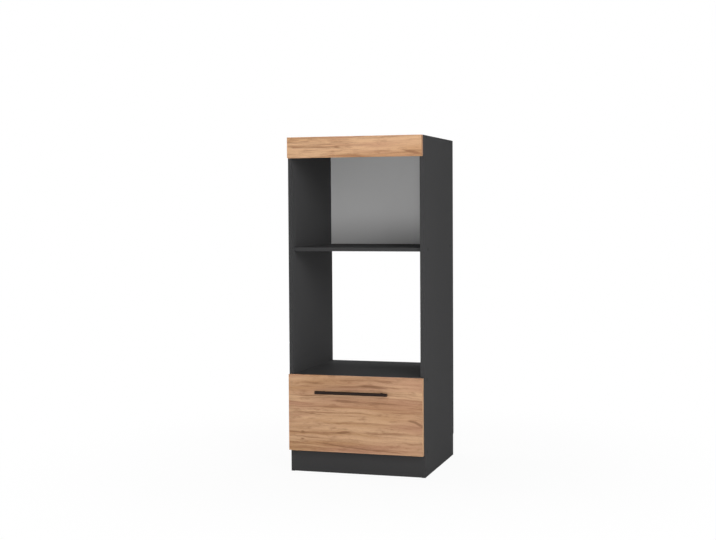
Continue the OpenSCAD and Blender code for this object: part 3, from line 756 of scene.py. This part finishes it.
refined = {
    # node: (shape, material, slot)
    "drawer_inner_front": (boxBoardShape, anthracite, "anthracite_board"),
    "drawer_left_side": (boxBoardShape, anthracite, "anthracite_board"),
    "drawer_right_side": (boxBoardShape, anthracite, "anthracite_board"),
    "drawer_back": (boxBoardShape, anthracite, "anthracite_board"),
    "screw_caps": (capShape, capFoil, "cap_foil"),
    "back_nails": (nailShape, zinc, "zinc_steel"),
    "fascia_brackets": (bracketShape, zinc, "zinc_steel"),
    "wall_brackets": (bracketShape, zinc, "zinc_steel"),
    "left_cabinet_runner": (runnerShape, whiteEpoxy, "white_runner"),
    "right_cabinet_runner": (runnerShape, whiteEpoxy, "white_runner"),
    "left_drawer_runner": (runnerShape, whiteEpoxy, "white_runner"),
    "right_drawer_runner": (runnerShape, whiteEpoxy, "white_runner"),
}


def refine(node, shape, material, slot):
    # the frame's own shape, with its sharp edges rounded
    bm = bmesh.new()
    bm.from_mesh(frame["nodes"][node].data)
    mergeFaces(bm)
    bevelEdges(bm, sharpEdges(bm, shape["shortest"]), shape["rounding"], shape["segments"])
    first, *words = node.split("_")
    name = first + "".join(word.capitalize() for word in words)
    finishPiece(bm, name, [material], frame["nodes"][node]["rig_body"], node)


for node, choice in refined.items():
    refine(node, *choice)
print("drawer box and hardware refined:", len(refined))


rollerShape = {
    "bore": 2.05 * mm,              # radii
    "headRoom": 4.1 * mm,
    "hub": 5.1 * mm,
    "headDepth": 1.30 * mm,         # how deep the head of the pin lies in the hub
    "shoulder": 0.5 * mm,
    "spokes": 6,
    "spokeShare": 5,                # one part in this many of the face is a spoke
    "stepsInSpoke": 2,
    "pocketSlope": 0.25 * mm,
    "pocketDepth": 0.7 * mm,
    "arris": 0.15 * mm,
}


def makeRoller(name, node, headSide, shape=rollerShape):
    # spun about its pin, then six pockets are moulded into the face on the side of the pin's head
    low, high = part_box(node)
    middle = (low + high) / 2
    radius = (high.z - low.z) / 2
    reachX = headSide * (high.x - low.x) / 2
    near = middle.x - reachX
    face = middle.x + reachX
    seat = face - headSide * shape["headDepth"]
    shoulder = headSide * shape["shoulder"]
    profile = [(near, shape["bore"]), (near, radius - shape["shoulder"]), (near + shoulder, radius),
               (face - shoulder, radius), (face, radius - shape["shoulder"]), (face, shape["hub"]),
               (face, shape["headRoom"]), (seat, shape["headRoom"]), (seat, shape["bore"])]
    bm = bmesh.new()
    ring = [bm.verts.new((x, middle.y, middle.z + reach)) for x, reach in profile]
    edges = [bm.edges.new(pair) for pair in zip(ring, ring[1:] + ring[:1])]
    bmesh.ops.spin(bm, geom=ring + edges, cent=middle, axis=(1, 0, 0), angle=2 * math.pi,
                   steps=shape["spokes"] * shape["spokeShare"] * shape["stepsInSpoke"], use_merge=True)
    bmesh.ops.remove_doubles(bm, verts=bm.verts, dist=weld)
    bmesh.ops.recalc_face_normals(bm, faces=bm.faces)
    sector = 2 * math.pi / shape["spokes"]
    web = []
    for part in bm.faces:
        centre = part.calc_center_median()
        reach = math.hypot(centre.y - middle.y, centre.z - middle.z)
        turn = math.atan2(centre.z - middle.z, centre.y - middle.y) % sector
        onFace = abs(centre.x - face) < weld and reach > shape["hub"]
        if onFace and turn > sector / shape["spokeShare"]:
            web.append(part)
    bmesh.ops.inset_region(bm, faces=web, thickness=shape["pocketSlope"], depth=-shape["pocketDepth"],
                           use_even_offset=True)
    bevelEdges(bm, sharpEdges(bm), shape["arris"])
    finishPiece(bm, name, [nylon], frame["nodes"][node]["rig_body"], node)


makeRoller("leftFrontRoller", "left_front_roller", 1)
makeRoller("rightFrontRoller", "right_front_roller", -1)
makeRoller("leftRearRoller", "left_rear_roller", -1)
makeRoller("rightRearRoller", "right_rear_roller", 1)
print("rollers made")


# the nodes that still show keep their shape: these get their own finish, the fasteners are zinc
keptPaints = {
    "upper_back_panel": backBoard,
    "lower_back_panel": backBoard,
    "drawer_bottom": drawerBottomBoard,
    "dowels": beech,
}

for node, piece in frame["nodes"].items():
    if not piece.hide_render:
        for materialSlot in piece.material_slots:
            materialSlot.material = keptPaints.get(node, zinc)
print("finishes set on the cad nodes that show")


stageLook = {
    "floorSize": 40.0,
    "floorColour": (0.9, 0.9, 0.9, 1.0),
    "white": (1.0, 1.0, 1.0, 1.0),
    "glowNear": 0.94,       # share of plain white beside the cabinet, which leaves its soft shadow
    "nearRadius": 0.5,
    "farRadius": 1.9,       # from here on the floor is plain white
    "worldStrength": 0.10,
}


def seenPlainly(paint):
    # 1 for rays that show the surroundings, 0 for those that light the cabinet
    direct = paint.node("LightPath", out="Is Camera Ray")
    glossy = paint.node("LightPath", out="Is Glossy Ray")
    through = paint.node("LightPath", out="Is Transmission Ray")
    return paint.maths("MAXIMUM", paint.maths("MAXIMUM", direct, glossy), through)


def makeFloor(look):
    bm = bmesh.new()
    bmesh.ops.create_grid(bm, x_segments=1, y_segments=1, size=look["floorSize"])
    mesh = bpy.data.meshes.new("floor")
    bm.to_mesh(mesh)
    bm.free()
    floor = bpy.data.objects.new("floor", mesh)
    bpy.context.scene.collection.objects.link(floor)
    paint = Paint("studio floor")
    reach = paint.vectors("LENGTH", paint.place(), out="Value")
    away = paint.mask(reach, look["nearRadius"], look["farRadius"])
    share = away * (1 - look["glowNear"]) + look["glowNear"]
    lit = paint.node("BsdfDiffuse", values={"Color": look["floorColour"]})
    glow = paint.node("Emission", values={"Color": look["white"], "Strength": 1.0})
    surface = paint.node("MixShader", values={0: seenPlainly(paint) * share, 1: lit, 2: glow})
    paint.node("OutputMaterial", values={"Surface": surface})
    mesh.materials.append(paint.made)


def makeWorld(look):
    paint = Paint("studio", bpy.data.worlds)
    lighting = paint.node("Background", values={"Color": look["white"], "Strength": look["worldStrength"]})
    backdrop = paint.node("Background", values={"Color": look["white"], "Strength": 1.0})
    surface = paint.node("MixShader", values={0: seenPlainly(paint), 1: lighting, 2: backdrop})
    paint.node("OutputWorld", values={"Surface": surface})
    bpy.context.scene.world = paint.made


lamps = {
    # name: (place, aimed at, width, height, watts)
    "sideLamp": ((2.8, -3.2, 2.6), (0.0, -0.1, 0.8), 2.0, 2.0, 60),
    "frontLamp": ((0.9, -2.6, 1.9), (0.0, -0.1, 0.8), 1.2, 1.2, 9.5),
    "lowLamp": ((0.6, -4.0, 0.5), (0.0, -0.2, 0.9), 1.6, 1.6, 87),
    "topLamp": ((0.0, 0.65, 4.2), (0.0, 0.1, 1.4), 1.6, 1.6, 50),
    "leftLamp": ((-4.0, 0.6, 1.5), (-0.3, 0.1, 0.8), 1.8, 1.8, 78),
    # low and flat, so that it stays off the oven shelf
    "backLamp": ((-1.7, 4.2, 0.2), (0.0, 0.3, 0.8), 2.0, 0.36, 120),
}


def makeLamp(name, place, target, width, height, watts):
    data = bpy.data.lights.new(name, "AREA")
    data.shape = "RECTANGLE"
    data.size = width
    data.size_y = height
    data.energy = watts
    lamp = bpy.data.objects.new(name, data)
    lamp.location = place
    lamp.rotation_euler = (Vector(target) - Vector(place)).to_track_quat("-Z", "Y").to_euler()
    bpy.context.scene.collection.objects.link(lamp)


cameraView = {
    "place": (1.6042, -5.5154, 1.1525),
    "yaw": 0.2937,          # turned to the left, radians
    "pitch": -0.0405,
    "roll": -0.0060,
    "lens": 65.11,          # mm
    "sensorWidth": 36,
    "shiftY": -0.0168,
}


def makeCamera(view):
    data = bpy.data.cameras.new("photoCamera")
    data.sensor_width = view["sensorWidth"]
    data.lens = view["lens"]
    data.shift_y = view["shiftY"]
    camera = bpy.data.objects.new("photoCamera", data)
    camera.matrix_world = (Matrix.Translation(view["place"])
                           @ Matrix.Rotation(view["yaw"], 4, "Z")
                           @ Matrix.Rotation(math.radians(90) + view["pitch"], 4, "X")
                           @ Matrix.Rotation(view["roll"], 4, "Z"))
    bpy.context.scene.collection.objects.link(camera)
    bpy.context.scene.camera = camera


makeFloor(stageLook)
makeWorld(stageLook)
for lampName, choice in lamps.items():
    makeLamp(lampName, *choice)
makeCamera(cameraView)
bpy.context.scene.view_settings.view_transform = "Standard"
print("stage, lamps and camera set")
